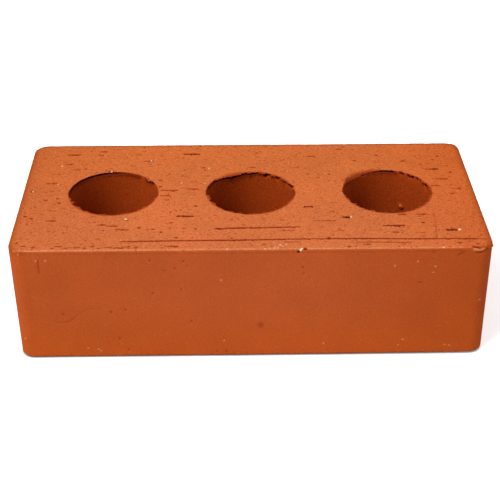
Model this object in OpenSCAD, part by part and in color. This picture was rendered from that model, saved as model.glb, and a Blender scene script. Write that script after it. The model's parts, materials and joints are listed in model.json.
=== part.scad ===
// Perforated clay brick, extruded and wire-cut, lying on its bed face.
// Length along X, width along Y, height along Z, and the origin at the middle of the underside.

/* [Brick] */
// Length, along X
brick_length = 205; // [180:1:300]
// Width, along Y
brick_width = 98; // [60:1:150]
// Height from one cut bed face to the other, along Z
brick_height = 55; // [30:1:120]
// Radius of the four upright corners, which the die gives the clay column
corner_radius = 6.5; // [2:0.5:15]
// Radius of the worn arris around each cut bed face
arris_radius = 0.8; // [0.3:0.1:1.8]

/* [Holes] */
// Diameter of each hole
hole_diameter = 40; // [15:1:58]
// Distance from the middle of one hole to the middle of the next
hole_pitch = 62; // [45:1:75]
// Number of holes in the row
hole_count = 3; // [1:1:3]
// How far the row of holes lies behind the middle of the width
row_offset = 1; // [-3:0.5:3]
// How far the row of holes lies to the right of the middle of the length
row_shift = 0.5; // [-3:0.5:3]

/* [Torn mouths] */
// Width of a tear, outwards from the hole's rim along the bed face
tear_width = 3; // [0.5:0.5:8]
// Depth of a tear, down the wall of the hole
tear_depth = 2; // [0.5:0.5:10]
// Angle along the rim from the middle of a tear to its end
tear_spread = 40; // [20:5:90]

/* [Hidden] */
$fn = 96;

// The holes that the cutting wire tore at the top, each as its number from the left,
// the direction of the tear's middle, counter-clockwise from +X, and its share of the full tear
TORN_HOLES = [[1, 113, 0.4], [2, 124, 1]];

hole_radius = hole_diameter / 2;
overcut = 1;
fired_clay = "#c8642f";

function hole_x(index) = row_shift + (index - (hole_count - 1) / 2) * hole_pitch;

// Rectangle that stands on the X axis, centred on the Y axis, with its corners rounded
module soft_rectangle(length, height, radius) {
    translate([-length / 2 + radius, 0]) square([length - 2 * radius, height]);
    translate([-length / 2, radius]) square([length, height - 2 * radius]);
    for (x = [-1, 1], z = [radius, height - radius])
        translate([x * (length / 2 - radius), z]) circle(r = radius);
}

// Round post under one upright corner, with the arris turned on both of its ends
module corner_post() {
    rotate_extrude()
        intersection() {
            soft_rectangle(2 * corner_radius, brick_height, arris_radius);
            square([corner_radius, brick_height]);
        }
}

// Length of clay column between two cuts: two crossing slabs and a post in each corner
module clay_column() {
    rotate([90, 0, 0])
        linear_extrude(brick_width - 2 * corner_radius, center = true)
            soft_rectangle(brick_length, brick_height, arris_radius);
    rotate([90, 0, 90])
        linear_extrude(brick_length - 2 * corner_radius, center = true)
            soft_rectangle(brick_width, brick_height, arris_radius);
    for (x = [-1, 1], y = [-1, 1])
        translate([x * (brick_length / 2 - corner_radius), y * (brick_width / 2 - corner_radius), 0])
            corner_post();
}

// Straight hole that a round core leaves through the column
module core_hole() {
    translate([0, 0, -overcut]) cylinder(h = brick_height + 2 * overcut, r = hole_radius);
}

// Crescent that the wire pulls out of a hole's top mouth: a cone beside the hole's axis,
// which crosses the rim at both ends of the tear and runs out on the wall at its depth
module torn_mouth(direction, share) {
    width = share * tear_width;
    depth = share * tear_depth;
    reach = hole_radius + width;
    shift = (reach ^ 2 - hole_radius ^ 2) / (2 * reach - 2 * hole_radius * cos(tear_spread));
    top_radius = reach - shift;
    slope = width / depth;
    rotate([0, 0, direction])
        translate([shift, 0, brick_height - depth])
            cylinder(h = depth + overcut, r1 = top_radius - width, r2 = top_radius + overcut * slope);
}

module brick() {
    color(fired_clay)
        difference() {
            clay_column();
            for (index = [0 : hole_count - 1])
                translate([hole_x(index), row_offset, 0]) core_hole();
            for (torn = TORN_HOLES)
                if (torn[0] < hole_count)
                    translate([hole_x(torn[0]), row_offset, 0]) torn_mouth(torn[1], torn[2]);
        }
}

brick();
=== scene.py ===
# %% [markdown]
# A perforated clay brick
#
# The real brick begins as a column of stiff wet clay. A steel die presses it out, and three cores in the die
# leave the round holes. A wire then cuts the column into bricks, and the kiln turns them orange red.
# So the brick has two kinds of skin: the die leaves the four sides smooth, and the wire drags grit across the
# two bed faces and tears them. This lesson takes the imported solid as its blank, presses the wire's marks into
# it, and gives it the colours of fired clay.

# %% Load the frame
import json
import math
import random

import bmesh
import bpy
from mathutils import Matrix, Vector


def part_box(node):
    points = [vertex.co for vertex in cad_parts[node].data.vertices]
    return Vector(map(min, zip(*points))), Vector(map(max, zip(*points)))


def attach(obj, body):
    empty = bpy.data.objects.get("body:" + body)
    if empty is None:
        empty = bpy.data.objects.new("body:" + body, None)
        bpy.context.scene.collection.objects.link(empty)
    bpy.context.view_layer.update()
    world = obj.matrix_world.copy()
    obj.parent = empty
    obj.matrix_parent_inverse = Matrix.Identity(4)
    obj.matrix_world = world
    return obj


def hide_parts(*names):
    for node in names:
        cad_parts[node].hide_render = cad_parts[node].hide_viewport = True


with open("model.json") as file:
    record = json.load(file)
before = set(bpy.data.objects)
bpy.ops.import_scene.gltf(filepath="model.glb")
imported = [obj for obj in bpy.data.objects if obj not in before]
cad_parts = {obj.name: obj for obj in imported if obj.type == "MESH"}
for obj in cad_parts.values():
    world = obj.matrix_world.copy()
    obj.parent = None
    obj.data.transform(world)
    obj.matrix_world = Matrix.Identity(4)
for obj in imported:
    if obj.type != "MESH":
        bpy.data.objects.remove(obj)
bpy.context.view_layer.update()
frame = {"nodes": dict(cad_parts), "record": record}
scene = bpy.context.scene

# %% [markdown]
# Sizes
#
# Nothing about the brick's size is decided here. The length, width and height come from the solid's own box,
# and the holes from the three bores that the record states. Lengths in this lesson are in millimetres, as on
# a brickmaker's drawing, and MM turns them into Blender's metres.

# %% Read the sizes from the frame
MM = 0.001
low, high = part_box("brick")
LENGTH, WIDTH, HEIGHT = (high - low) / MM
bores = [mount for mount in frame["record"]["mounts"] if mount["kind"] == "bore"]
bores.sort(key=lambda mount: mount["pos_m"][0])
HOLES = [(mount["pos_m"][0] / MM, mount["pos_m"][1] / MM) for mount in bores]
HOLE_RADIUS = bores[0]["dims"]["r_mm"]
FRONT = -WIDTH / 2
print(f"brick {LENGTH:.1f} x {WIDTH:.1f} x {HEIGHT:.1f} mm")
print(f"{len(HOLES)} holes of radius {HOLE_RADIUS:.1f} mm")

# %% [markdown]
# The camera
#
# The camera stands in front of the brick and a little to its left, and looks down on it. Its place and its
# focal length were found by matching the outline, the front edge and the three round holes, so the same lens
# drawn over the brick gives the same foreshortening. A camera looks along its own -Z axis, so the turn is
# written as three plain angles: how far it looks down, how far it is turned to the right, and a slight roll.

# %% Place the camera
CAMERA_PLACE = (-9.6, -473.3, 318.3)
CAMERA_DOWN, CAMERA_RIGHT, CAMERA_ROLL = 31.82, 1.19, -0.12
CAMERA_LENS = 86.2
CLIP_START = 10

camera_data = bpy.data.cameras.new("camera")
camera_data.lens = CAMERA_LENS
camera_data.clip_start = CLIP_START * MM
camera = bpy.data.objects.new("camera", camera_data)
turn = Matrix.Rotation(math.radians(-CAMERA_RIGHT), 4, "Z")
turn @= Matrix.Rotation(math.radians(90 - CAMERA_DOWN), 4, "X")
turn @= Matrix.Rotation(math.radians(-CAMERA_ROLL), 4, "Z")
camera.matrix_world = Matrix.Translation(Vector(CAMERA_PLACE) * MM) @ turn
scene.collection.objects.link(camera)
scene.camera = camera
scene.view_settings.view_transform = "Standard"
print("camera looks along", tuple(round(value, 3) for value in turn @ Vector((0, 0, -1))))

# %% [markdown]
# Writing nodes
#
# Shapes and materials are both built from nodes, and a tree of nodes is long to write by hand. One small
# function does it: it adds a node, sets its properties, fills its open inputs in order and hands back one of
# its outputs. An input takes a number, another node's output, or a list of outputs where a node joins
# several. A second function turns a colour from the hex code of a paint chart into the linear values that
# light needs.

# %% Add one node, and read a colour
def add(tree, kind, *values, output=0, **settings):
    """Adds a node, sets its properties, fills its open inputs in order and returns one open output."""
    node = tree.nodes.new(kind)
    for name, value in settings.items():
        setattr(node, name, value)
    for socket, value in zip([s for s in node.inputs if s.enabled], values):
        if isinstance(value, (bpy.types.NodeSocket, list)):
            for source in value if isinstance(value, list) else [value]:
                tree.links.new(source, socket)
        elif value is not None:
            socket.default_value = value
    open_outputs = [s for s in node.outputs if s.enabled]
    return open_outputs[output] if open_outputs else node


def linear(code):
    """Turns an sRGB hex code into linear red, green, blue and alpha."""
    channels = [int(code[start:start + 2], 16) / 255 for start in (1, 3, 5)]
    return (*[c / 12.92 if c <= 0.04045 else ((c + 0.055) / 1.055) ** 2.4 for c in channels], 1.0)


print("middle grey is", round(linear("#808080")[0], 3), "in linear light")

# %% [markdown]
# The floor
#
# A product picture stands on a white sheet that runs out of sight. A wide plane does the same. To the camera
# it glows white, with some of its own shading left so that the brick's shadow stays. Where the brick all but
# touches it both fade, so that the line of contact is dark. To every other ray it is plain matt paper, so it
# throws soft light back up on the brick's sides.

# %% Make the floor
WHITE = "#FFFFFF"
PAPER = "#F9F9F9"
PAPER_GLOW = 0.6
CONTACT_REACH = 1.2
FLOOR_HALF = 3000


def seen_directly(tree):
    """One for a ray that the camera, a mirror or a glass sends, and nought for every other ray."""
    ray = add(tree, "ShaderNodeLightPath").node.outputs
    seen = add(tree, "ShaderNodeMath", ray["Is Camera Ray"], ray["Is Glossy Ray"], operation="MAXIMUM")
    return add(tree, "ShaderNodeMath", seen, ray["Is Transmission Ray"], operation="MAXIMUM")


paper = bpy.data.materials.new("white_paper")
paper.use_nodes = True
tree = paper.node_tree
tree.nodes.clear()
matt = add(tree, "ShaderNodeBsdfDiffuse", linear(PAPER))
open_air = add(tree, "ShaderNodeAmbientOcclusion", linear(PAPER), CONTACT_REACH * MM).node.outputs
glow = add(tree, "ShaderNodeMath", open_air["AO"], PAPER_GLOW, operation="MULTIPLY")
glow = add(tree, "ShaderNodeEmission", linear(WHITE), glow)
bright = add(tree, "ShaderNodeBsdfDiffuse", open_air["Color"])
bright = add(tree, "ShaderNodeAddShader", bright, glow)
sheet = add(tree, "ShaderNodeMixShader", seen_directly(tree), matt, bright)
add(tree, "ShaderNodeOutputMaterial", sheet)

floor_mesh = bpy.data.meshes.new("floor")
half = FLOOR_HALF * MM
corners = [(-half, -half, 0), (half, -half, 0), (half, half, 0), (-half, half, 0)]
floor_mesh.from_pydata(corners, [], [(0, 1, 2, 3)])
floor_mesh.materials.append(paper)
floor = bpy.data.objects.new("floor", floor_mesh)
scene.collection.objects.link(floor)
print("floor", 2 * FLOOR_HALF, "mm wide")

# %% [markdown]
# The light
#
# The picture has soft studio light: the top is the brightest face, the right hand corner the darkest, and
# inside the holes the left wall is dark and the right wall bright. So half of the light comes evenly from all
# round, and the rest from one large lamp high up in front and to the left. Together they give the top face a
# level at which a colour shows as it is written.

# %% Light the studio
SKY_LEVEL = 0.43
LAMP_PLACE = (-1000, -800, 1800)
LAMP_DIAMETER = 950
LAMP_WATTS = 33

world = bpy.data.worlds.new("studio")
world.use_nodes = True
tree = world.node_tree
tree.nodes.clear()
level = add(tree, "ShaderNodeMapRange", seen_directly(tree), 0.0, 1.0, SKY_LEVEL, 1.0)
sky = add(tree, "ShaderNodeBackground", linear(WHITE), level)
add(tree, "ShaderNodeOutputWorld", sky)
scene.world = world

lamp_data = bpy.data.lights.new("softbox", "AREA")
lamp_data.shape = "DISK"
lamp_data.size = LAMP_DIAMETER * MM
lamp_data.energy = LAMP_WATTS
lamp = bpy.data.objects.new("softbox", lamp_data)
lamp_place = Vector(LAMP_PLACE) * MM
aim = (-lamp_place).to_track_quat("-Z", "Y").to_matrix().to_4x4()
lamp.matrix_world = Matrix.Translation(lamp_place) @ aim
scene.collection.objects.link(lamp)
print("lamp", round(lamp_place.length, 2), "m away")

# %% [markdown]
# The blank
#
# A mark can only be pressed into a surface that has points to move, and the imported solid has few. A copy of
# its mesh is merged, because its triangles are loose, and a voxel remesh then covers it with an even skin of
# small squares. Every rounded corner, bore and torn mouth of the solid is kept to within a fraction of a
# square.

# %% Cover a copy of the solid with an even skin
SKIN_SQUARE = 0.4
MERGE_WITHIN = 0.001


def plain_mesh(piece):
    """Keeps what a piece's modifiers make as its plain mesh, and takes the modifiers off."""
    graph = bpy.context.evaluated_depsgraph_get()
    evaluated = piece.evaluated_get(graph)
    mesh = bpy.data.meshes.new_from_object(evaluated, preserve_all_data_layers=True, depsgraph=graph)
    piece.modifiers.clear()
    piece.data = mesh


shell = bmesh.new()
shell.from_mesh(frame["nodes"]["brick"].data)
bmesh.ops.remove_doubles(shell, verts=shell.verts, dist=MERGE_WITHIN * MM)
blank_mesh = bpy.data.meshes.new("fired_brick")
shell.to_mesh(blank_mesh)
shell.free()
blank_mesh.materials.clear()
brick = bpy.data.objects.new("fired_brick", blank_mesh)
scene.collection.objects.link(brick)
cover = brick.modifiers.new("even skin", "REMESH")
cover.mode = "VOXEL"
cover.voxel_size = SKIN_SQUARE * MM
plain_mesh(brick)
print("skin of", len(brick.data.polygons), "squares")

# %% [markdown]
# Marks as lines
#
# Every mark on the brick is a line with a width and a depth: a groove that the wire dragged, a short tear
# where a grain was pulled out, a pit, a worn edge, a chip. They are kept as helper meshes of bare edges, and
# each point carries four numbers: the half width and the depth in millimetres, how patchy the mark is, and
# how dark its floor is. So every kind of mark below is written as those four numbers. Three short functions
# say where a point lies on the top, on the front or on the wall of a hole.

# %% Places on the brick, and lines with numbers on them
MARK_NUMBERS = ("half_width", "depth", "patchy", "shade")
SPOT = 0.15
CORNER_RADIUS = 6.5


def on_top(x, y):
    return (x, y, HEIGHT)


def on_front(x, z):
    """A point on the front face, which bends back round the upright corners."""
    past = max(abs(x) - (LENGTH / 2 - CORNER_RADIUS), 0)
    return (x, FRONT + CORNER_RADIUS - math.sqrt(CORNER_RADIUS ** 2 - past ** 2), z)


def on_wall(hole, angle, depth, radius=HOLE_RADIUS):
    """A point on a hole's wall: the angle turns from +X towards +Y, the depth runs down from the top."""
    turned = math.radians(angle)
    centre_x, centre_y = HOLES[hole]
    return (centre_x + radius * math.cos(turned), centre_y + radius * math.sin(turned), HEIGHT - depth)


def spot(point):
    """A line so short that its mark is round."""
    x, y, z = point
    return [(x - SPOT, y, z), (x + SPOT, y, z)]


def lay_lines(name, marks):
    """Makes a helper of bare edges from pairs of a path in millimetres and its four mark numbers."""
    points = []
    edges = []
    numbers = []
    for line, kind in marks:
        edges += [(len(points) + step, len(points) + step + 1) for step in range(len(line) - 1)]
        points += [Vector(point) * MM for point in line]
        numbers += [kind] * len(line)
    mesh = bpy.data.meshes.new(name)
    mesh.from_pydata(points, edges, [])
    for column, label in enumerate(MARK_NUMBERS):
        attribute = mesh.attributes.new(label, "FLOAT", "POINT")
        attribute.data.foreach_set("value", [row[column] for row in numbers])
    helper = bpy.data.objects.new(name, mesh)
    scene.collection.objects.link(helper)
    return helper


print("far rim of the middle hole at", tuple(round(value, 1) for value in on_wall(1, 90, 0)))

# %% [markdown]
# The wire's marks on the top face
#
# The wire travelled along the brick, so its marks run along X. One groove crosses almost the whole front of
# the top face and a second lies in front of the middle hole. Between them are short tears, where the wire
# caught a grain and dragged it to the right: each starts thin and widens to the place where the grain
# stopped. Round pits are left where a grain fell out. The ones that catch the eye are listed one by one, to the
# nearest half millimetre or so.

# %% Kinds and places of the marks that show
GROOVE = (0.65, 0.5, 0.0, 1.3)
SCRATCH = (0.5, 0.25, 0.3, 0.9)
FAINT_SCRATCH = (0.4, 0.15, 0.4, 0.5)
TEAR = (0.8, 0.5, 0.1, 1.0)
DARK_TEAR = (0.9, 0.7, 0.0, 1.7)
DEEP_TEAR = (1.2, 1.1, 0.0, 2.0)
PIT = (0.8, 0.6, 0.0, 1.2)
EDGE_TEAR = (0.5, 0.35, 0.0, 1.0)

GROOVES = [
    [(-55, -41), (-29.5, -40.5), (-5, -40.5), (20, -40), (43.5, -40), (69.5, -40.5), (96.5, -41)],
    [(-12.5, -31), (-9, -30.5), (4, -30.5), (14, -30), (21, -30)],
]
SCRATCHES = [
    [(12, -33), (18.5, -33)],
    [(14.5, -42.5), (20.5, -42.5)],
    [(44.5, -43), (67.5, -43.5)],
    [(96.5, -41), (100.5, -41.5)],
    [(27.5, -25), (37, -25)],
]
FAINT_SCRATCHES = [
    [(80.5, -19), (80, -30), (79, -40)],
    [(16, 24.5), (27.5, 24.5)],
    [(-97, -25), (-91.5, -25)],
]
# Left end, right end and distance from the middle of the width
TEARS = [
    (-85.5, -83, 29.5), (-81.5, -79, 24), (-92.5, -88, 10.5), (-88.5, -85, -23), (-49, -47, 32),
    (-40, -33, 3.5), (-40, -36, -1.5), (-28, -23.5, 4.5), (-36, -31, -45), (28.5, 31.5, 36), (0.5, 2.5, 25),
    (83, 86.5, 22), (85, 92, 12.5), (83, 87, 6), (73, 77.5, -20), (43, 45, 43), (-71, -68, 42),
    (-71, -69, 38.5), (-57.5, -54, -46), (61, 63, -35), (65, 68, -20), (-62, -58, -28), (-58, -53, -31),
    (-66, -63, -27),
]
DARK_TEARS = [
    (-85.5, -80.5, 39), (-30.5, -23.5, 39), (-32, -25.5, -20), (24.5, 27.5, -12.5), (57.5, 66, -29.5),
    (-15, -12.5, -31), (86, 88.5, 22),
]
DEEP_TEARS = [(41, 43, -22), (84.5, 88.5, -33.5)]
PITS = [
    (-91, -5), (-86, -3.5), (-85, -7.5), (-98.5, -19), (-95.5, -21), (-99, -41.5), (-40.5, 13), (-40.5, 7),
    (-24, -11), (-34.5, -25.5), (-48, -29.5), (-42, -31), (-38.5, -33.5), (-32, -38), (-51.5, -45),
    (-48.5, -46), (37.5, 18), (50.5, 31), (90.5, 35), (88, 31.5), (61.5, 36.5), (73, 30), (94.5, 19),
    (92, -1.5), (96, 3.5), (75, -27), (-21, 25), (33, -39), (-65, 22.5),
]
EDGE_TEARS = [
    (-97, -95, -44), (-92.5, -91, -45), (-84, -83, -46), (-82.5, -80, -44.5), (-78.5, -77.5, -46),
    (-74.5, -72, -45.5), (-70.5, -69.5, -46), (-68, -66, -44.5), (-64.5, -63.5, -46.3), (-62, -58.5, -45.5),
    (40.5, 41.5, -46.5), (47, 50, -45), (87, 89, -44), (92, 93, -43), (95, 96, -45),
]
print(len(TEARS + DARK_TEARS + DEEP_TEARS + EDGE_TEARS), "tears and", len(PITS), "pits")

# %% [markdown]
# Wandering lines
#
# No line in clay is ruled. A groove or a scratch is drawn in short steps, each moved a little to one side by
# a seeded draw. A tear is two such lines, a thin tail and a wide head.

# %% Draw the grooves, the tears and the pits
WANDER_STEP = 1.2
GROOVE_SWAY = 0.08
TEAR_SWAY = 0.2
TAIL_SHARE = 0.5
TAIL_SIZE = 0.7
WANDER_SEED = 7
chance = random.Random(WANDER_SEED)


def wander(line, sway):
    """The same line in short steps, each moved to one side by no more than the sway."""
    points = [line[0]]
    for (x0, y0), (x1, y1) in zip(line, line[1:]):
        steps = max(1, round(math.hypot(x1 - x0, y1 - y0) / WANDER_STEP))
        for step in range(1, steps + 1):
            part = step / steps
            aside = chance.uniform(-sway, sway)
            points.append((x0 + part * (x1 - x0), y0 + part * (y1 - y0) + aside))
    return [on_top(*point) for point in points]


def tear(left, right, y, kind):
    """A thin tail and a wide head, as a dragged grain leaves them."""
    half_width, depth, patchy, shade = kind
    waist = left + TAIL_SHARE * (right - left)
    tail = (TAIL_SIZE * half_width, TAIL_SIZE * depth, patchy, shade)
    thin_half = wander([(left, y), (waist, y)], TEAR_SWAY)
    wide_half = wander([(waist, y), (right, y)], TEAR_SWAY)
    return [(thin_half, tail), (wide_half, kind)]


fine_marks = []
for lines, kind in ((GROOVES, GROOVE), (SCRATCHES, SCRATCH), (FAINT_SCRATCHES, FAINT_SCRATCH)):
    fine_marks += [(wander(line, GROOVE_SWAY), kind) for line in lines]
wire_tears = ((TEARS, TEAR), (DARK_TEARS, DARK_TEAR), (DEEP_TEARS, DEEP_TEAR), (EDGE_TEARS, EDGE_TEAR))
for places, kind in wire_tears:
    for left, right, y in places:
        fine_marks += tear(left, right, y, kind)
fine_marks += [(spot(on_top(x, y)), PIT) for x, y in PITS]
print(len(fine_marks), "marks placed on the top face")

# %% [markdown]
# Marks on the front face
#
# The die leaves the front smooth, so it has little: one short scratch near the left end, a fine curved one
# below it, a round stain under the middle, a scatter of pinholes, a few scuffs near the right end, and a thin
# broken darker line close under the arris.

# %% Scratches, stain, pinholes and scuffs on the front
FRONT_SCRATCH = (0.45, 0.25, 0.2, 0.7)
HAIRLINE = (0.4, 0.12, 0.0, 0.4)
FAINT_LINE = (0.4, 0.08, 0.3, 0.2)
STAIN = (2.0, 0.05, 0.0, 0.5)
PINHOLE = (0.45, 0.3, 0.0, 0.55)
SCUFF = (0.6, 0.15, 0.2, 0.6)
UNDER_ARRIS = (0.6, 0.05, 0.6, 0.35)
FRONT_SCRATCH_LINE = [(-89.5, 50.5), (-89.5, 47.5), (-89.5, 44.5)]
STAIN_PLACE = (4, 16.5)
UNDER_ARRIS_LINE = [(-98, HEIGHT - 1.4), (90, HEIGHT - 1.4)]
HAIRLINES = [[(-84, 19), (-81.5, 19), (-78.5, 19.5), (-76, 21.5)]]
FAINT_LINES = [
    [(-76, 21.5), (-73, 24), (-70.5, 25.5), (-68.5, 26), (-64, 26)],
    [(-99, 50.5), (-99, 44), (-99.5, 37.5)],
]
PINHOLES = [
    (-61, 51.5), (-43, 50), (-60.5, 24), (-54, 25), (-32.5, 46), (-42, 33.5), (-57.5, 10), (-53.5, 4),
    (-81, 23), (-37, 45), (-27, 47.5), (-26, 19), (-30, 35.5), (21.5, 46), (22, 43), (-28.5, 49.5),
    (-15, 2.5), (-11, 2.5),
]
SCUFFS = [
    [(71, 38), (72.5, 38)],
    [(87, 51.5), (88, 52.3), (89, 52.8)],
    [(76, 53.5), (77, 53)],
]

fine_marks.append(([on_front(*point) for point in FRONT_SCRATCH_LINE], FRONT_SCRATCH))
fine_marks.append((spot(on_front(*STAIN_PLACE)), STAIN))
fine_marks.append(([on_front(*point) for point in UNDER_ARRIS_LINE], UNDER_ARRIS))
for lines, kind in ((HAIRLINES, HAIRLINE), (FAINT_LINES, FAINT_LINE), (SCUFFS, SCUFF)):
    fine_marks += [([on_front(*point) for point in line], kind) for line in lines]
fine_marks += [(spot(on_front(x, z)), PINHOLE) for x, z in PINHOLES]
print(len(fine_marks), "marks on the top and the front")

# %% [markdown]
# Worn edges and nicked rims
#
# Every edge of the brick is worn a little, and the rims of the holes are nicked, because there the wire left
# the clay and pulled crumbs over the edge. At the front right corner the arris has sunk, and where the torn
# mouth of the right hole slopes down to the wall it is darkened with painted shade. These broad marks are
# lines too: the brick's outline at the top and at the floor, and each hole's rim at both ends.

# %% Wear the edges and nick the rims
CORNER_STEPS = 8
RIM_STEPS = 90
ARRIS = (0.8, 0.1, 1.0, 0.0)
RIM = (0.7, 0.35, 1.0, 0.6)
SUNK_ARRIS = (1.8, 0.8, 0.0, 0.0)
SUNK_FROM, SUNK_TO = 92.5, 97.5
# Painted shade on the slope of the right hole's torn mouth
SLOPE_SHADE = (1.8, 0.0, 0.0, 0.9)
SLOPE_ANGLES = range(158, 105, -4)
SLOPE_DEPTH = 1.4
SLOPE_RADIUS = HOLE_RADIUS + 0.5


def outline(z):
    """The brick's outline at one height, round the four corners."""
    points = []
    for corner, (side_x, side_y) in enumerate([(1, 1), (-1, 1), (-1, -1), (1, -1)]):
        centre_x = side_x * (LENGTH / 2 - CORNER_RADIUS)
        centre_y = side_y * (WIDTH / 2 - CORNER_RADIUS)
        for step in range(CORNER_STEPS + 1):
            turned = math.radians(90 * (corner + step / CORNER_STEPS))
            x = centre_x + CORNER_RADIUS * math.cos(turned)
            y = centre_y + CORNER_RADIUS * math.sin(turned)
            points.append((x, y, z))
    return points + points[:1]


def rim(hole, depth):
    """The edge of a hole at one depth below the top face."""
    return [on_wall(hole, 360 * step / RIM_STEPS, depth) for step in range(RIM_STEPS + 1)]


broad_marks = [(outline(z), ARRIS) for z in (0, HEIGHT)]
broad_marks += [(rim(hole, depth), RIM) for hole in range(len(HOLES)) for depth in (0, HEIGHT)]
broad_marks.append(([(SUNK_FROM, FRONT, HEIGHT), (SUNK_TO, FRONT, HEIGHT)], SUNK_ARRIS))
broad_marks.append(([on_wall(2, angle, SLOPE_DEPTH, SLOPE_RADIUS) for angle in SLOPE_ANGLES], SLOPE_SHADE))
print(len(broad_marks), "broad marks")

# %% [markdown]
# Gaps, notches and cracks
#
# Under the far rims the wire left jagged gaps: one long one under the middle hole's lip, thin ones in the
# other two, and short notches in all three. At the front right corner a crack runs behind the arris, and a
# line of painted shadow on the front face under the arris makes it seem to hang a little over that face. The
# gaps, notches, cracks and chips are pressed in, and a shade of two paints them black, as shadow. A point of
# the skin obeys only the nearest line of a helper, so the broad marks have one helper and the gaps another,
# and neither can cut the other short. The wall just below some far rims is darkened with painted shade, and
# has a helper of its own as well.

# %% Place the gaps, the notches, the cracks and the dim walls
# Gaps, notches, cracks and chips are pressed in; a shade of two paints them black as shadow
GAP = (0.8, 1.0, 0.0, 2.0)
THIN_GAP = (0.75, 0.7, 0.0, 1.9)
NOTCH = (1.1, 1.3, 0.0, 2.0)
SMALL_NOTCH = (0.8, 1.2, 0.0, 2.0)
CRACK = (0.6, 0.9, 0.0, 2.0)
# A line of painted shadow under the arris at the front right corner
OVERHANG_SHADOW = (0.45, 0.3, 0.0, 1.0)
CHIP = (1.0, 1.1, 0.0, 2.0)
# Pressed in a little along the foot, with painted contact shadow where the brick meets the floor
CONTACT_SHADOW = (1.0, 0.3, 0.0, 1.4)
# Painted shade on the wall just below a far rim
DIM_WALL = (2.0, 0.0, 0.0, 1.25)
DIM_DEPTH = 1.0
WALL_TURN = 4

# Angle around the hole and depth below the top face, along the gap under each lip
LEFT_GAP = [(174, 1.5), (162, 1.2), (144, 0.9), (125, 0.9), (113, 1.0), (105, 0.9), (93, 0.8), (80, 0.6)]
MIDDLE_GAP = [
    (171, 2.0), (166, 1.7), (152, 2.0), (144, 1.5), (138, 1.3), (132, 1.2), (125, 1.9), (120, 2.3),
    (115, 2.6), (114, 2.2), (109, 2.2), (104, 2.2), (101, 1.7), (98, 1.4), (94, 1.3), (91, 1.7), (85, 1.3),
    (79, 0.7),
]
RIGHT_GAP = [(118, 1.8), (108, 1.2), (100, 1.0), (92, 1.0), (84, 0.9), (76, 0.9)]
# Hole, then the angle and depth of both ends of each black notch
NOTCHES = [
    (0, (34, 1.0), (30, 1.1)), (1, (70, 2.0), (64, 1.0)), (1, (51, 1.6), (47, 0.9)),
    (1, (33, 1.8), (31, 1.8)), (1, (26, 2.0), (16, 0.6)), (2, (22.5, 1.8), (18, 2.6)),
]
SMALL_NOTCHES = [
    (2, (65, 1.1), (62, 1.1)), (2, (54, 1.3), (52.5, 1.6)), (2, (48.5, 1.6), (47, 1.4)),
    (2, (40.5, 1.0), (39, 1.4)), (2, (33.5, 1.2), (32.5, 1.2)),
]
CORNER_CRACK = [(93.7, -47.7, HEIGHT), (94.5, -47.9, HEIGHT), (95.4, -48.2, HEIGHT)]
# Where the line of painted shadow runs, on the front face under the arris
SHADOW_UNDER_ARRIS = [(94.7, 52.9), (96, 52.7), (97.8, 53.2), (99.5, 54)]
CHIP_PLACE = (22.4, -48, HEIGHT)
CRACK_PLACE = (19.6, FRONT, HEIGHT - 1.2)
# Hole, and the angles between which the wall just under its rim gets painted shade
DIM_WALLS = [(0, 180, 60), (0, 44, 32), (2, 126, 72)]

gap_marks = []
for hole, line, kind in ((0, LEFT_GAP, THIN_GAP), (1, MIDDLE_GAP, GAP), (2, RIGHT_GAP, THIN_GAP)):
    gap_marks.append(([on_wall(hole, *place) for place in line], kind))
for places, kind in ((NOTCHES, NOTCH), (SMALL_NOTCHES, SMALL_NOTCH)):
    gap_marks += [([on_wall(hole, *start), on_wall(hole, *end)], kind) for hole, start, end in places]
gap_marks += [
    (CORNER_CRACK, CHIP),
    ([on_front(*point) for point in SHADOW_UNDER_ARRIS], OVERHANG_SHADOW),
    (spot(CHIP_PLACE), CHIP),
    (spot(CRACK_PLACE), CRACK),
    (outline(0), CONTACT_SHADOW),
]
dim_marks = []
for hole, start, end in DIM_WALLS:
    angles = range(start, end - 1, -WALL_TURN)
    dim_marks.append(([on_wall(hole, angle, DIM_DEPTH) for angle in angles], DIM_WALL))
print(len(gap_marks), "gaps and", len(dim_marks), "dim walls")

# %% [markdown]
# Lips and crumbs
#
# The wire also smeared clay over the far rims, so that a soft lip hangs into each hole above its black gap.
# The lip of the middle hole is the thickest. Small teeth of clay stand along the near rims. A crumb sticks to
# the wall of the right hole, a burr to the front right corner, and the back right corner is fuller near its
# top. These stand out of the surface, and only sideways, so the brick grows no taller. The second number of
# such a mark is its height.

# %% Place the lips, the teeth and the crumbs
THICK_LIP = (2.0, 1.1, 0.0, 0.0)
LIP = (1.3, 1.0, 0.4, 0.0)
TEETH = (0.9, 1.9, 1.0, 0.0)
CRUMB = (1.3, 0.9, 0.0, 0.0)
BURR = (1.8, 0.7, 0.0, 0.0)
FULL_CORNER = (2.4, 0.6, 0.0, 0.0)
THICK_LIP_START = 4
LIP_ABOVE_GAP = 0.8
LEAST_LIP_DEPTH = 0.2
FAR_LIPS = {0: (43, 36), 1: (72, 8), 2: (30, 25)}
NEAR_RIM = (188, 352)
LIP_STEPS = 12
LIP_DEPTH = 0.4
TEETH_DEPTH = 0.1
CRUMB_PLACE = (2, 61, 18.5)
BURR_PLACE = (101, -46.2, HEIGHT - 0.2)
BACK_CORNER = [(100.6, 47.1, HEIGHT - 4), (100.6, 47.1, HEIGHT)]

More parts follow.
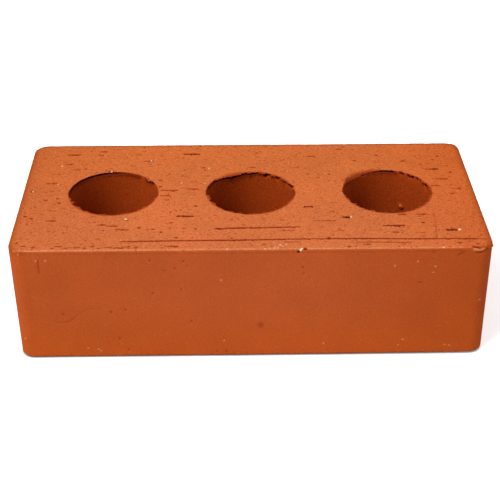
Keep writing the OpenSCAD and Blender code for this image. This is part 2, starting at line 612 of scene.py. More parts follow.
thick_lip = []
for angle, depth in MIDDLE_GAP[THICK_LIP_START:]:
    thick_lip.append(on_wall(1, angle, max(depth - LIP_ABOVE_GAP, LEAST_LIP_DEPTH)))
lip_marks = [(thick_lip, THICK_LIP)]
for hole, (start, end) in FAR_LIPS.items():
    angles = [start + (end - start) * step / LIP_STEPS for step in range(LIP_STEPS + 1)]
    lip_marks.append(([on_wall(hole, angle, LIP_DEPTH) for angle in angles], LIP))
    lip_marks.append(([on_wall(hole, angle, TEETH_DEPTH) for angle in range(*NEAR_RIM, WALL_TURN)], TEETH))
lip_marks.append((spot(on_wall(*CRUMB_PLACE)), CRUMB))
lip_marks.append((spot(BURR_PLACE), BURR))
lip_marks.append((BACK_CORNER, FULL_CORNER))
print(len(lip_marks), "lips, rows of teeth and crumbs")

# %% [markdown]
# Pale grains
#
# The clay holds grains of lime and quartz that stay white in the kiln. The wire leaves some of them standing
# in the top face, often at the right end of the tear that they made, and a few show as pale specks on the
# front, a little below its skin. Each is a point with a radius and how pale it is; the tree gives the height.

# %% Place the grains that show
BIG_GRAIN = (0.62, 0.0, 0.0, 1.0)
GRAIN = (0.48, 0.0, 0.0, 0.65)
SPECK = (0.42, 0.0, 0.0, 0.5)
FRONT_SPECK = (0.4, 0.0, 0.0, 0.3)
CRATER = (1.4, 0.3, 0.0, 0.9)
GRAIN_HALF = 0.3
CRATERS = [(-98, 3.2), (-54.2, -22.3), (-64, 21.8), (-46, 32.2)]
BIG_GRAINS = [(-54.5, -22), (89.7, -33.5)]
GRAINS = [
    (-87.5, 27.5), (-87.5, 10), (-98, 3.5), (-64, 22), (-46, 32.5), (-18.5, 24), (80.5, -48), (44, -22),
]
TOP_SPECKS = [
    (9.5, -47.3), (11, -47), (12, -45), (5.5, -47.8), (13, -46), (14.5, -44.5), (7.5, -47.3), (-10.5, -47.8),
    (-68.5, 38), (-31, 10), (-20.5, 9),
]
FRONT_SPECKS = [
    (-97.5, 53.5), (-90.5, 50.5), (-86.5, 50.5), (-99.5, 10), (-71.5, 5), (-67, 4.5), (-66, 3.5),
    (60.5, 46.5), (70, 48.5), (77, 43), (77.5, 46), (64.5, 5), (66.5, 8), (85, 5), (87, 4.5), (98.5, 28.5),
    (31.5, 6.5), (-13, 40), (-12, 8.5),
]
# Hole, angle around it and depth below the top face
WALL_SPECKS = [(2, 62, 17.5), (2, 22, 12), (2, 12, 16), (0, 38, 0.4)]
EDGE_GRAIN = [(20.3, -48.8, HEIGHT - 0.5), (21.2, -47.8, HEIGHT)]

grain_marks = []
for places, kind in ((GRAINS, GRAIN), (TOP_SPECKS, SPECK)):
    grain_marks += [([on_top(x, y - GRAIN_HALF), on_top(x, y + GRAIN_HALF)], kind) for x, y in places]
grain_marks += [([on_top(x - GRAIN_HALF, y), on_top(x + GRAIN_HALF, y)], BIG_GRAIN) for x, y in BIG_GRAINS]
fine_marks += [(spot(on_top(x, y)), CRATER) for x, y in CRATERS]
grain_marks += [(spot(on_front(x, z)), FRONT_SPECK) for x, z in FRONT_SPECKS]
grain_marks += [(spot(on_wall(*place)), FRONT_SPECK) for place in WALL_SPECKS]
grain_marks.append((EDGE_GRAIN, BIG_GRAIN))
print(len(grain_marks), "grains placed")

# %% [markdown]
# Growing shapes with Geometry Nodes
#
# A tree of Geometry Nodes is a recipe: sizes go in by name and a mesh comes out. One short function starts a
# tree with its named inputs. A second gives the sizes to a modifier by each input's own identifier, and keeps
# the result as a plain mesh.

# %% Start a tree, and run it
SOCKET_KINDS = {
    float: "NodeSocketFloat",
    int: "NodeSocketInt",
    bpy.types.Object: "NodeSocketObject",
    bpy.types.Material: "NodeSocketMaterial",
}


def start_tree(name, sizes):
    """Starts a tree with a mesh going in and out, and one named input for each size."""
    tree = bpy.data.node_groups.new(name, "GeometryNodeTree")
    tree.interface.new_socket("Geometry", in_out="OUTPUT", socket_type="NodeSocketGeometry")
    tree.interface.new_socket("Geometry", in_out="INPUT", socket_type="NodeSocketGeometry")
    for label, value in sizes.items():
        tree.interface.new_socket(label, in_out="INPUT", socket_type=SOCKET_KINDS[type(value)])
    return tree


def run_tree(piece, tree, sizes):
    """Runs a tree on a piece with these sizes, and keeps what it makes as the piece's plain mesh."""
    modifier = piece.modifiers.new(tree.name, "NODES")
    modifier.node_group = tree
    for item in tree.interface.items_tree:
        if item.in_out == "INPUT" and item.name in sizes:
            modifier[item.identifier] = sizes[item.name]
    plain_mesh(piece)


print(len(SOCKET_KINDS), "kinds of input")

# %% [markdown]
# Small tears and pits all over the bed faces
#
# Between the marks listed above, both bed faces are covered with hundreds of smaller tears and still more
# pits. They differ in length, width and depth, they come in patches, and they all lie along the wire's path.
# So they are scattered: points spread over the bed faces, and on each a short line that is turned a little.
# One recipe serves both. The pits are shorter, may turn further and have another seed.

# %% Sizes of the small tears and pits
TEAR_SIZES = {
    "Marks in a square metre": 24000.0,
    "Patch size": 14.0,
    "Shortest": 0.6,
    "Longest": 6.0,
    "Narrowest": 0.3,
    "Widest": 0.6,
    "Shallowest": 0.12,
    "Deepest": 0.4,
    "Palest": 0.2,
    "Darkest": 0.9,
    "Slant in degrees": 5.0,
    "Seed": 11,
}
PIT_SIZES = TEAR_SIZES | {
    "Marks in a square metre": 40000.0,
    "Patch size": 9.0,
    "Shortest": 0.1,
    "Longest": 0.8,
    "Narrowest": 0.28,
    "Widest": 0.65,
    "Darkest": 1.1,
    "Slant in degrees": 40.0,
    "Seed": 23,
}
print(len(TEAR_SIZES), "sizes for each kind of small mark")

# %% [markdown]
# The recipe for small marks
#
# The tree spreads points where the skin faces up or down, and a noise thins them out so that they lie in
# patches. Each point draws its length, width, depth and shade, and a power makes small values the common
# ones.

# %% Spread points that draw their numbers
BED_FACE_NORMAL = 0.9
PATCH_SPAN = (0.35, 0.7)
BAREST_PATCH = 0.1

scatter = start_tree("wire_tears", TEAR_SIZES)
given = add(scatter, "NodeGroupInput").node.outputs
normal = add(scatter, "GeometryNodeInputNormal")
across = add(scatter, "ShaderNodeSeparateXYZ", normal, output=2)
across = add(scatter, "ShaderNodeMath", across, operation="ABSOLUTE")
on_bed = add(scatter, "FunctionNodeCompare", across, BED_FACE_NORMAL, operation="GREATER_THAN")
patch_scale = add(scatter, "ShaderNodeMath", 1 / MM, given["Patch size"], operation="DIVIDE")
patches = add(scatter, "ShaderNodeTexNoise", None, patch_scale)
patches = add(scatter, "ShaderNodeMapRange", patches, *PATCH_SPAN, BAREST_PATCH, 1.0)
density = add(scatter, "ShaderNodeMath", given["Marks in a square metre"], patches, operation="MULTIPLY")
spread = add(
    scatter, "GeometryNodeDistributePointsOnFaces", given["Geometry"], on_bed, density, given["Seed"])

# Least value, greatest value and power
ranges = {
    "length": ("Shortest", "Longest", 3.0),
    "half_width": ("Narrowest", "Widest", 1.5),
    "depth": ("Shallowest", "Deepest", 1.5),
    "shade": ("Palest", "Darkest", 1.0),
}
for order, (label, (least, most, power)) in enumerate(ranges.items()):
    seed = add(scatter, "ShaderNodeMath", given["Seed"], float(order), operation="ADD")
    draw = add(scatter, "FunctionNodeRandomValue", 0.0, 1.0, None, seed, data_type="FLOAT")
    draw = add(scatter, "ShaderNodeMath", draw, power, operation="POWER")
    value = add(scatter, "ShaderNodeMapRange", draw, 0.0, 1.0, given[least], given[most])
    spread = add(scatter, "GeometryNodeStoreNamedAttribute", spread, None, label, value)
spread = add(scatter, "GeometryNodeStoreNamedAttribute", spread, None, "patchy", 0.0)
print(len(scatter.nodes), "nodes spread the points")

# %% [markdown]
# A line on every point
#
# A line of unit length is laid on each point, turned a little and stretched to the length that the point
# drew. Such instances only refer to the one line, so they are made real at the end. The tree runs twice on
# the blank, once for the tears and once for the pits, and leaves two more helpers of lines.

# %% Lay the lines and run the recipe
unit_line = add(scatter, "GeometryNodeMeshLine", 2, None, (-0.5, 0, 0), (1, 0, 0))
slant = add(scatter, "ShaderNodeMath", given["Slant in degrees"], operation="RADIANS")
back_slant = add(scatter, "ShaderNodeMath", slant, -1.0, operation="MULTIPLY")
slant = add(scatter, "FunctionNodeRandomValue", back_slant, slant, data_type="FLOAT")
slant = add(scatter, "ShaderNodeCombineXYZ", 0.0, 0.0, slant)
length = add(scatter, "GeometryNodeInputNamedAttribute", "length", data_type="FLOAT")
length = add(scatter, "ShaderNodeMath", length, MM, operation="MULTIPLY")
stretch = add(scatter, "ShaderNodeCombineXYZ", length, 1.0, 1.0)
strokes = add(scatter, "GeometryNodeInstanceOnPoints", spread, None, unit_line, None, None, slant, stretch)
strokes = add(scatter, "GeometryNodeRealizeInstances", strokes)
add(scatter, "NodeGroupOutput", strokes)

scattered = {}
for name, sizes in {"small_tears": TEAR_SIZES, "small_pits": PIT_SIZES}.items():
    scattered[name] = bpy.data.objects.new(name, blank_mesh)
    scene.collection.objects.link(scattered[name])
    run_tree(scattered[name], scatter, sizes)
    print(len(scattered[name].data.edges), name, "on the two bed faces")

# %% [markdown]
# Pressing a mark
#
# How deep is the clay at one point of the skin? The tree finds the nearest line, reads the numbers that it
# carries, and lowers the point by the mark's depth: fully near the line, not at all past its half width, and
# smoothly between. A fine noise makes the half width swing, so no mark has a ruled edge, and a coarser one
# breaks up the patchy marks. It is a group of its own, because every helper of marks goes through it.

# %% Make the group that presses marks
NOISE_SPAN = (0.3, 0.7)
# How much fine detail a noise has
SOFT, CRISP, GRITTY = 1.0, 2.0, 3.0
RAGGED_SIZE = 1.0
RAGGED_LEAST, RAGGED_MOST = 0.6, 1.4
PATCHY_SIZE = 2.5
PATCHY_SPAN = (0.4, 0.65)
FULL_DEPTH_SHARE = 0.5


def per(size):
    """The texture scale at which one patch of a pattern is that many millimetres wide."""
    return 1 / (size * MM)


press = bpy.data.node_groups.new("press_marks", "GeometryNodeTree")
press.interface.new_socket("Lines", in_out="INPUT", socket_type="NodeSocketGeometry")
press.interface.new_socket("Depth", in_out="OUTPUT", socket_type="NodeSocketFloat")
press.interface.new_socket("Shade", in_out="OUTPUT", socket_type="NodeSocketFloat")
lines = add(press, "NodeGroupInput")
distance = add(press, "GeometryNodeProximity", lines, output=1, target_element="EDGES")
nearest = add(press, "GeometryNodeSampleNearest", lines, domain="EDGE")
numbers = {}
for label in MARK_NUMBERS:
    carried = add(press, "GeometryNodeInputNamedAttribute", label, data_type="FLOAT")
    numbers[label] = add(
        press, "GeometryNodeSampleIndex", lines, carried, nearest, data_type="FLOAT", domain="EDGE")
ragged = add(press, "ShaderNodeTexNoise", None, per(RAGGED_SIZE), CRISP)
ragged = add(press, "ShaderNodeMapRange", ragged, *NOISE_SPAN, RAGGED_LEAST * MM, RAGGED_MOST * MM)
reach = add(press, "ShaderNodeMath", numbers["half_width"], ragged, operation="MULTIPLY")
core = add(press, "ShaderNodeMath", reach, FULL_DEPTH_SHARE, operation="MULTIPLY")
share = add(press, "ShaderNodeMapRange", distance, reach, core, 0.0, 1.0, interpolation_type="SMOOTHSTEP")
patch = add(press, "ShaderNodeTexNoise", None, per(PATCHY_SIZE), CRISP)
patch = add(press, "ShaderNodeMapRange", patch, *PATCHY_SPAN, 0.0, 1.0)
patch = add(press, "ShaderNodeMix", numbers["patchy"], 1.0, patch, data_type="FLOAT")
share = add(press, "ShaderNodeMath", share, patch, operation="MULTIPLY")
depth = add(press, "ShaderNodeMath", numbers["depth"], share, operation="MULTIPLY")
shade = add(press, "ShaderNodeMath", numbers["shade"], share, operation="MULTIPLY")
add(press, "NodeGroupOutput", depth, shade)
print(len(press.nodes), "nodes press a mark")

# %% [markdown]
# The relief of the whole skin
#
# Now everything comes together on the skin. The presses lower it, and under them lies the clay's own relief:
# a slow swell over the whole brick, and the fine drag of the wire along X on the bed faces and of the die
# along Z on the sides and in the holes. The top face is skimmed a little lower than the solid's, so that the
# grains can stand out of it and the brick still fits its box. The tree is long, so it is written in steps.
# First come its sizes, with the helpers among them.

# %% Sizes of the relief
clay = bpy.data.materials.new("fired_clay")
around = outline(HEIGHT)
# The outline starts at the back right corner, so the front right one comes after three others
front_right = 3 * (CORNER_STEPS + 1)
back_and_ends = around[front_right:-1] + around[:front_right]
# Painted highlight along the front arris and on the sunk arris at the front right corner
HIGHLIT_ARRIS = [(-100, FRONT + 1, HEIGHT), (88, FRONT + 1, HEIGHT)]
HIGHLIT_CORNER = [(93.5, 54.3), (95.6, 53.9), (97.8, 54.4)]
front_wear = [(HIGHLIT_ARRIS, ARRIS), ([on_front(*point) for point in HIGHLIT_CORNER], ARRIS)]
bore_axes = [([(x, y, 0), (x, y, HEIGHT)], (HOLE_RADIUS, 0.0, 0.0, 0.0)) for x, y in HOLES]
RELIEF_SIZES = {
    "Fine lines": lay_lines("fine_lines", fine_marks),
    "Small tears": scattered["small_tears"],
    "Small pits": scattered["small_pits"],
    "Broad lines": lay_lines("broad_lines", broad_marks),
    "Gaps": lay_lines("gaps", gap_marks),
    "Dim walls": lay_lines("dim_walls", dim_marks),
    "Lips": lay_lines("lips", lip_marks),
    "Grains": lay_lines("grains", grain_marks),
    "Back and ends": lay_lines("back_and_ends", [(back_and_ends, ARRIS)]),
    "Front wear": lay_lines("front_wear", front_wear),
    "Bore axes": lay_lines("bore_axes", bore_axes),
    "Skim": 0.06,
    "Grain height": 0.08,
    "Swell": 0.12,
    "Swell size": 40.0,
    "Drag": 0.12,
    "Drag length": 8.0,
    "Drag width": 0.9,
    "Die drag": 0.03,
    "Left lean": 1.0,
    "Right lean": 0.4,
    "Right lift": 0.35,
    "Clay": clay,
}
print(len(RELIEF_SIZES), "sizes and helpers for the relief")

# %% [markdown]
# Reading the skin
#
# The tree begins with what it has to know about a point: how deep each kind of mark presses it, whether the
# wire or the die made its face, and how far it lies from a bore, from the edges at the back and the ends, which
# get painted shade, and from the line along the front edge, which gets a painted highlight.

# %% Read the marks and the faces
BED_SPAN = (0.7, 0.95)
# How far from a helper's lines its note fades out, and how near to them it is full
NOTE_REACH = {
    "Bore axes": (HOLE_RADIUS + 1.0, HOLE_RADIUS + 0.3),
    "Back and ends": (2.6, 0.2),
    "Front wear": (0.8, 0.4),
}

relief = start_tree("clay_relief", RELIEF_SIZES)
given = add(relief, "NodeGroupInput").node.outputs
helpers = {}
for label, value in RELIEF_SIZES.items():
    if isinstance(value, bpy.types.Object):
        helpers[label] = add(relief, "GeometryNodeObjectInfo", given[label]).node.outputs["Geometry"]
wire_lines = [helpers["Fine lines"], helpers["Small tears"], helpers["Small pits"]]
wire_lines = add(relief, "GeometryNodeJoinGeometry", wire_lines)
pressed = [wire_lines] + [helpers[label] for label in ("Broad lines", "Gaps", "Dim walls", "Lips")]
pressed = [add(relief, "GeometryNodeGroup", lines, node_tree=press) for lines in pressed]
fine, broad, gaps, dim, lips = pressed

place = add(relief, "GeometryNodeInputPosition")
normal = add(relief, "GeometryNodeInputNormal")
upward = add(relief, "ShaderNodeSeparateXYZ", normal, output=2)
top = add(relief, "ShaderNodeMapRange", upward, *BED_SPAN, 0.0, 1.0)
across = add(relief, "ShaderNodeMath", upward, operation="ABSOLUTE")
cut = add(relief, "ShaderNodeMapRange", across, *BED_SPAN, 0.0, 1.0)
nearness = []
for label, (fade, full) in NOTE_REACH.items():
    distance = add(relief, "GeometryNodeProximity", helpers[label], output=1, target_element="EDGES")
    nearness.append(add(relief, "ShaderNodeMapRange", distance, fade * MM, full * MM, 0.0, 1.0))
bore, edge, worn = nearness
print(len(relief.nodes), "nodes read the skin")

# %% [markdown]
# Raising the grains
#
# A grain is the nearest line of its helper, within the radius that it carries. On the top face it stands out
# as a low dome. On the other faces it lies a little below the skin, where the die smoothed the clay over it.

# %% Raise the grains
DOME_TOP = 0.2
GRAIN_SPAN = (0.95, 0.55)

to_grain = add(relief, "GeometryNodeProximity", helpers["Grains"], output=1, target_element="EDGES")
which = add(relief, "GeometryNodeSampleNearest", helpers["Grains"], domain="EDGE")
carried = {}
for label in ("half_width", "shade"):
    value = add(relief, "GeometryNodeInputNamedAttribute", label, data_type="FLOAT")
    carried[label] = add(
        relief, "GeometryNodeSampleIndex", helpers["Grains"], value, which, data_type="FLOAT", domain="EDGE")
radius = add(relief, "ShaderNodeMath", carried["half_width"], MM, operation="MULTIPLY")
to_grain = add(relief, "ShaderNodeMath", to_grain, radius, operation="DIVIDE")
dome = add(relief, "ShaderNodeMapRange", to_grain, 1.0, DOME_TOP, 0.0, 1.0, interpolation_type="SMOOTHSTEP")
grain = add(relief, "ShaderNodeMapRange", to_grain, *GRAIN_SPAN, 0.0, 1.0)
grain = add(relief, "ShaderNodeMath", grain, carried["shade"], operation="MULTIPLY")
dome = add(relief, "ShaderNodeMath", dome, given["Grain height"], operation="MULTIPLY")
outward = add(relief, "ShaderNodeMapRange", top, 0.0, 1.0, -1.0, 1.0)
dome = add(relief, "ShaderNodeMath", dome, outward, operation="MULTIPLY")
print(len(relief.nodes), "nodes with the grains")

# %% [markdown]
# Swell and drag
#
# Wet clay sags and springs back a little, which leaves a slow swell. The drag is a noise that is stretched
# along the way that the tool went: where its scale is small along one axis, its patches become streaks. All
# that lowers a point is added up and moves it against the skin's normal.

# %% Swell the clay and drag the tools over it
LEAST_SUNK = 0.03

swell_scale = add(relief, "ShaderNodeMath", 1 / MM, given["Swell size"], operation="DIVIDE")
swell = add(relief, "ShaderNodeTexNoise", place, swell_scale, SOFT)
swell = add(relief, "ShaderNodeMapRange", swell, *NOISE_SPAN, LEAST_SUNK, given["Swell"])
along = add(relief, "ShaderNodeMath", 1 / MM, given["Drag length"], operation="DIVIDE")
beside = add(relief, "ShaderNodeMath", 1 / MM, given["Drag width"], operation="DIVIDE")
wire_way = add(relief, "ShaderNodeCombineXYZ", along, beside, beside)
die_way = add(relief, "ShaderNodeCombineXYZ", beside, beside, along)
drags = []
for way, label in ((die_way, "Die drag"), (wire_way, "Drag")):
    streaks = add(relief, "ShaderNodeVectorMath", place, way, operation="MULTIPLY")
    streaks = add(relief, "ShaderNodeTexNoise", streaks, 1.0, GRITTY)
    drags.append(add(relief, "ShaderNodeMapRange", streaks, *NOISE_SPAN, 0.0, given[label]))
drag = add(relief, "ShaderNodeMix", cut, *drags, data_type="FLOAT")

skim = add(relief, "ShaderNodeMath", top, given["Skim"], operation="MULTIPLY")
sunk = fine
for part in (broad, gaps, swell, drag, skim):
    sunk = add(relief, "ShaderNodeMath", sunk, part, operation="ADD")
sunk = add(relief, "ShaderNodeMath", sunk, dome, operation="SUBTRACT")
sunk = add(relief, "ShaderNodeMath", sunk, -MM, operation="MULTIPLY")
move = add(relief, "ShaderNodeVectorMath", normal, sunk, operation="SCALE")
print(len(relief.nodes), "nodes with the swell and the drag")

# %% [markdown]
# Lips and leaning ends
#
# The lips move the skin sideways only. The ends of the brick are not quite upright: the left one draws in
# towards the floor by a millimetre, and the right one a little towards the top. The underside rises by a
# third of a millimetre to the right end, so the brick stands a hair off the floor there.

# %% Hang the lips and lean the ends
LEAN_START = 85
LIFT_START = 40
LIFT_HEIGHT = 15

sideways = add(relief, "ShaderNodeVectorMath", normal, (1, 1, 0), operation="MULTIPLY")
lip_height = add(relief, "ShaderNodeMath", lips, MM, operation="MULTIPLY")
hang = add(relief, "ShaderNodeVectorMath", sideways, lip_height, operation="SCALE")
move = add(relief, "ShaderNodeVectorMath", move, hang, operation="ADD")

lengthwise = add(relief, "ShaderNodeSeparateXYZ", place)
upright = add(relief, "ShaderNodeSeparateXYZ", place, output=2)
for side, label, start, end in ((-1, "Left lean", HEIGHT, 0.0), (1, "Right lean", 0.0, HEIGHT)):
    end_span = (side * LEAN_START * MM, side * LENGTH / 2 * MM)
    near_end = add(relief, "ShaderNodeMapRange", lengthwise, *end_span, 0.0, 1.0)
    leant = add(relief, "ShaderNodeMapRange", upright, start * MM, end * MM, 0.0, given[label])
    leant = add(relief, "ShaderNodeMath", leant, near_end, operation="MULTIPLY")
    leant = add(relief, "ShaderNodeMath", leant, -side * MM, operation="MULTIPLY")
    leant = add(relief, "ShaderNodeCombineXYZ", leant)
    move = add(relief, "ShaderNodeVectorMath", move, leant, operation="ADD")
right_end = add(relief, "ShaderNodeMapRange", lengthwise, LIFT_START * MM, LENGTH / 2 * MM, 0.0, MM)
lift = add(relief, "ShaderNodeMapRange", upright, LIFT_HEIGHT * MM, 0.0, 0.0, given["Right lift"])
lift = add(relief, "ShaderNodeMath", lift, right_end, operation="MULTIPLY")
lift = add(relief, "ShaderNodeCombineXYZ", 0.0, 0.0, lift)
move = add(relief, "ShaderNodeVectorMath", move, lift, operation="ADD")
print(len(relief.nodes), "nodes with the lips and the leaning ends")

# %% [markdown]
# Notes for the material
#
# Last, the tree writes on each point what the material needs to know: how torn it is and how much painted
# shade it takes, how pale a grain, which tool made its face, and whether it lies in a bore or on the front
# arris that takes a painted highlight. One more note, marked, takes the greatest of the tears and painted
# shade, the grains and the highlit line and spreads it to the neighbours, for the thinning that follows.

# %% Write the notes and run the tree
skin = given["Geometry"]
uncut = add(relief, "ShaderNodeMath", 1.0, cut, operation="SUBTRACT")
# Painted shade under the far rims, kept to the walls of the holes
torn = add(relief, "ShaderNodeMath", dim.node.outputs["Shade"], uncut, operation="MULTIPLY")
# This note carries the colour of torn clay and painted shade: black gaps, the contact line, the shaded walls
for part in (fine, broad, gaps):
    torn = add(relief, "ShaderNodeMath", torn, part.node.outputs["Shade"], operation="MAXIMUM")
marked = add(relief, "ShaderNodeMath", torn, grain, operation="MAXIMUM")
marked = add(relief, "ShaderNodeMath", marked, worn, operation="MAXIMUM")
marked = add(relief, "GeometryNodeBlurAttribute", marked, 1, data_type="FLOAT")
notes = {"torn": torn, "grain": grain, "cut": cut, "bore": bore, "edge": edge, "worn": worn}
for label, value in (notes | {"marked": marked}).items():
    skin = add(relief, "GeometryNodeStoreNamedAttribute", skin, None, label, value)
skin = add(relief, "GeometryNodeSetPosition", skin, None, None, move)
skin = add(relief, "GeometryNodeRealizeInstances", skin)
skin = add(relief, "GeometryNodeSetMaterial", skin, None, given["Clay"])
add(relief, "NodeGroupOutput", skin)

run_tree(brick, relief, RELIEF_SIZES)
for value in RELIEF_SIZES.values():
    if isinstance(value, bpy.types.Object):
        bpy.data.objects.remove(value)
print("relief on", len(brick.data.vertices), "points")

# %% [markdown]
# Thinning the skin
#
# Most of the skin is flat, and flat clay needs few triangles. The Decimate modifier takes them away where
# they show least. A mark's colour rides on the points, so the marked points form a group that the modifier
# leaves alone. Faces are then shaded smooth, except across the edges that are truly sharp.

# %% Thin out and shade
TRIANGLES = 190000
SHARP_ANGLE = 50
SPARED_FROM = 0.05

spared = brick.vertex_groups.new(name="spared")
values = [0.0] * len(brick.data.vertices)
brick.data.attributes["marked"].data.foreach_get("value", values)
points = [point for point, value in enumerate(values) if value > SPARED_FROM]
spared.add(points, 1.0, "REPLACE")
print(len(points), "points spared")
thin = brick.modifiers.new("thin", "DECIMATE")
thin.ratio = TRIANGLES / (2 * len(brick.data.polygons))
thin.vertex_group = spared.name
thin.invert_vertex_group = True
plain_mesh(brick)
brick.vertex_groups.clear()
brick.data.shade_smooth()
brick.data.set_sharp_from_angle(angle=math.radians(SHARP_ANGLE))
print("brick of", sum(len(face.vertices) - 2 for face in brick.data.polygons), "triangles")

# %% [markdown]
# Fired clay
#
# Fired clay is a matt, open ceramic. Its iron turns it orange red, the skin under the die a shade deeper than
# the torn bed faces, where fine dust and broken grains make it paler, and the walls of the holes deepest,
# where the cores pressed the clay. Each face is painted darker towards the ends, most towards the right end,
# away from the lamp: that is painted shade. The sides also carry painted light from the floor near their foot.
# The material reads the notes that the tree wrote, and starts with the colour of each place.

# %% Colours by place
DIE_SKIN = "#BC5526"
# Painted shade: the die skin darker towards the left and right ends
DIE_LEFT_SHADED = "#B65120"
DIE_RIGHT_SHADED = "#B14B18"
# Painted light: the sides lighter and warmer near the foot, as if lit from the floor
DIE_FOOT_LIT = "#C05514"
CUT_FACE = "#D87240"
CUT_BACK = "#D66E34"
# Painted shade: the bed faces darker towards the ends, most at the right end
LEFT_END_SHADE = "#F1EDE7"
RIGHT_END_SHADE = "#FDEBCC"
BORE_SKIN = "#AE440F"
# Painted shade along the arrises at the back and the ends
EDGE_SHADE = "#AA4808"
# Painted highlight on the front arris, as if it caught the light
ARRIS_HIGHLIGHT = "#E29260"
DIE_START = 30
END_SHADE_START = 55
FOOT_LIGHT_HEIGHT = 25
FOOT_LIGHT_SHARE = 0.6
HIGHLIGHT_SIZE = 7
HIGHLIGHT_SPAN = (0.35, 0.65)
HIGHLIGHT_SHARES = (0.3, 0.75)

clay.use_nodes = True
clay.node_tree.nodes.clear()
tree = clay.node_tree
place = add(tree, "ShaderNodeTexCoord", output=3)
marks = {}
for label in notes:
    marks[label] = add(tree, "ShaderNodeAttribute", attribute_name=label).node.outputs["Fac"]

backward = add(tree, "ShaderNodeSeparateXYZ", place, output=1)
backward = add(tree, "ShaderNodeMapRange", backward, FRONT * MM, -FRONT * MM, 0.0, 1.0)
colour = add(tree, "ShaderNodeMix", backward, linear(CUT_FACE), linear(CUT_BACK), data_type="RGBA")
lengthwise = add(tree, "ShaderNodeSeparateXYZ", place)
die_skin = linear(DIE_SKIN)
# Painted shade, deepening each face towards both ends
for side, shaded_end_skin, end_shade in ((-1, DIE_LEFT_SHADED, LEFT_END_SHADE), (1, DIE_RIGHT_SHADED, RIGHT_END_SHADE)):
    end = side * LENGTH / 2 * MM
    near_end = add(tree, "ShaderNodeMapRange", lengthwise, side * DIE_START * MM, end, 0.0, 1.0)
    die_skin = add(tree, "ShaderNodeMix", near_end, die_skin, linear(shaded_end_skin), data_type="RGBA")
    near_end = add(tree, "ShaderNodeMapRange", lengthwise, side * END_SHADE_START * MM, end, 0.0, 1.0)
    colour = add(
        tree, "ShaderNodeMix", near_end, colour, linear(end_shade), data_type="RGBA", blend_type="MULTIPLY")
# Painted light from the floor on the lower part of the sides
foot_light = add(tree, "ShaderNodeSeparateXYZ", place, output=2)
foot_light = add(tree, "ShaderNodeMapRange", foot_light, FOOT_LIGHT_HEIGHT * MM, 0.0, 0.0, FOOT_LIGHT_SHARE)
die_skin = add(tree, "ShaderNodeMix", foot_light, die_skin, linear(DIE_FOOT_LIT), data_type="RGBA")
colour = add(tree, "ShaderNodeMix", marks["cut"], die_skin, colour, data_type="RGBA")
uncut = add(tree, "ShaderNodeMath", 1.0, marks["cut"], operation="SUBTRACT")
wall = add(tree, "ShaderNodeMath", marks["bore"], uncut, operation="MULTIPLY")
# Patches of painted highlight along the front arris
highlight_patches = add(tree, "ShaderNodeTexNoise", place, per(HIGHLIGHT_SIZE), CRISP)
highlight_patches = add(tree, "ShaderNodeMapRange", highlight_patches, *HIGHLIGHT_SPAN, *HIGHLIGHT_SHARES)
worn = add(tree, "ShaderNodeMath", marks["worn"], highlight_patches, operation="MULTIPLY")
# Painted shade along the back and end arrises, and a painted highlight along the front arris
for share, skin_colour in ((wall, BORE_SKIN), (marks["edge"], EDGE_SHADE), (worn, ARRIS_HIGHLIGHT)):
    colour = add(tree, "ShaderNodeMix", share, colour, linear(skin_colour), data_type="RGBA")
print(len(tree.nodes), "nodes colour the clay by place")

# %% [markdown]
# Grit, specks and dust
#
# Nothing on the brick is one even colour. The firing leaves slow clouds, and the grit a salt of lighter and
# darker points, stronger on the torn faces than on the smooth ones and strongest in the holes. Dark specks
# along the wire's path and pale dust lie on the bed faces, and far more thinly on the others. The real grit
# is finer than a tenth of a millimetre; it is drawn several times coarser, so that a picture shows it.

# %% Lay the grit, the specks and the dust
# The colour of torn clay, also used for the painted shade in tears, gaps and under the far rims
TORN_AND_SHADED_CLAY = "#96320A"
PALE_GRAIN = "#FFDAA8"
CLOUD_SIZE = 22
CLOUD_TONES = (0.94, 1.05)
GRIT_SIZE = 0.7
ROUGH_TONES = (0.8, 1.18)
SMOOTH_TONES = (0.91, 1.09)
WALL_TONES = (0.74, 1.26)
SIDE_SPECKS = 0.15
SPECK_LENGTH = 1.5
SPECK_WIDTH = 1.0
SPECK_SPAN = (0.62, 0.7)
SPECK_SHARE = 0.7
DUST_SIZE = 1.3
DUST_SPAN = (0.66, 0.8)
DUST_SHARE = 0.18

clouds = add(tree, "ShaderNodeTexNoise", place, per(CLOUD_SIZE), GRITTY)
clouds = add(tree, "ShaderNodeMapRange", clouds, *NOISE_SPAN, *CLOUD_TONES)
grit = add(tree, "ShaderNodeTexNoise", place, per(GRIT_SIZE), GRITTY)
rough_grit = add(tree, "ShaderNodeMapRange", grit, *NOISE_SPAN, *ROUGH_TONES)
smooth_grit = add(tree, "ShaderNodeMapRange", grit, *NOISE_SPAN, *SMOOTH_TONES)
wall_grit = add(tree, "ShaderNodeMapRange", grit, *NOISE_SPAN, *WALL_TONES)
salt = add(tree, "ShaderNodeMix", marks["cut"], smooth_grit, rough_grit, data_type="FLOAT")
salt = add(tree, "ShaderNodeMix", wall, salt, wall_grit, data_type="FLOAT")
tone = add(tree, "ShaderNodeMath", clouds, salt, operation="MULTIPLY")
colour = add(tree, "ShaderNodeVectorMath", colour, tone, operation="SCALE")

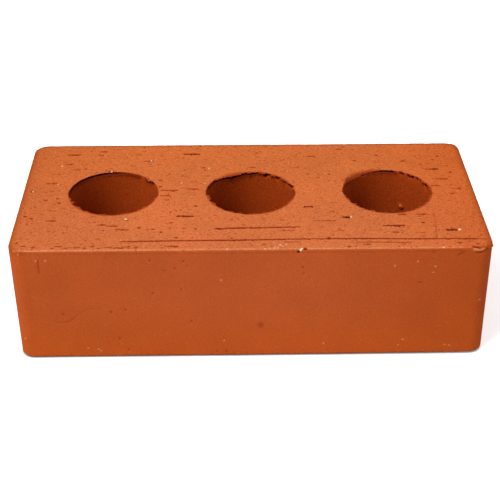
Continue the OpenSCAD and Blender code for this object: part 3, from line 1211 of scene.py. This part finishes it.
speckled = add(tree, "ShaderNodeMapRange", marks["cut"], 0.0, 1.0, SIDE_SPECKS, 1.0)
wire_way = (per(SPECK_LENGTH), per(SPECK_WIDTH), per(SPECK_WIDTH))
specks = add(tree, "ShaderNodeVectorMath", place, wire_way, operation="MULTIPLY")
specks = add(tree, "ShaderNodeTexNoise", specks, 1.0, CRISP)
specks = add(tree, "ShaderNodeMapRange", specks, *SPECK_SPAN, 0.0, SPECK_SHARE)
specks = add(tree, "ShaderNodeMath", specks, speckled, operation="MULTIPLY")
dust = add(tree, "ShaderNodeTexNoise", place, per(DUST_SIZE), SOFT)
dust = add(tree, "ShaderNodeMapRange", dust, *DUST_SPAN, 0.0, DUST_SHARE)
dust = add(tree, "ShaderNodeMath", dust, speckled, operation="MULTIPLY")
for share, speck_colour in ((specks, TORN_AND_SHADED_CLAY), (dust, PALE_GRAIN)):
    colour = add(tree, "ShaderNodeMix", share, colour, linear(speck_colour), data_type="RGBA")
print(len(tree.nodes), "nodes with grit, specks and dust")

# %% [markdown]
# Tears, grains and the finish
#
# The tears are darker and redder: partly clean torn clay, where no dust lies, and partly painted shade, since
# little light reaches their floors. The gaps are painted all but black, as shadow. The grains lie over
# everything. Open clay scatters light and hardly shines, so it is rough, with a weak highlight, and the grit
# and the specks also roughen the way that light falls on it.

# %% Colour the tears and the grains, and set the finish
# Painted shadow in the gaps
GAP_SHADOW = "#1E0A05"
# A shade above one begins to turn black, as painted shadow
GAP_SPAN = (1.0, 2.0)
BUMP_STRENGTH = 0.6
BUMP_HEIGHT = 0.12
ROUGHNESS = 0.9
HIGHLIGHT = 0.1

gap_shadow = add(tree, "ShaderNodeMapRange", marks["torn"], *GAP_SPAN, 0.0, 1.0)
for share, mark_colour in ((marks["torn"], TORN_AND_SHADED_CLAY), (gap_shadow, GAP_SHADOW), (marks["grain"], PALE_GRAIN)):
    colour = add(tree, "ShaderNodeMix", share, colour, linear(mark_colour), data_type="RGBA")

height = add(tree, "ShaderNodeMath", grit, specks, operation="SUBTRACT")
bump = add(tree, "ShaderNodeBump", BUMP_STRENGTH, BUMP_HEIGHT * MM, None, height)
surface = add(tree, "ShaderNodeBsdfPrincipled", colour).node
surface.inputs["Roughness"].default_value = ROUGHNESS
surface.inputs["Specular IOR Level"].default_value = HIGHLIGHT
tree.links.new(bump, surface.inputs["Normal"])
add(tree, "ShaderNodeOutputMaterial", surface.outputs["BSDF"])
print(len(tree.nodes), "nodes in the fired clay")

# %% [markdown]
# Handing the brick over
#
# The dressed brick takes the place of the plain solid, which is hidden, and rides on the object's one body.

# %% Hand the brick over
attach(brick, "root")
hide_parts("brick")
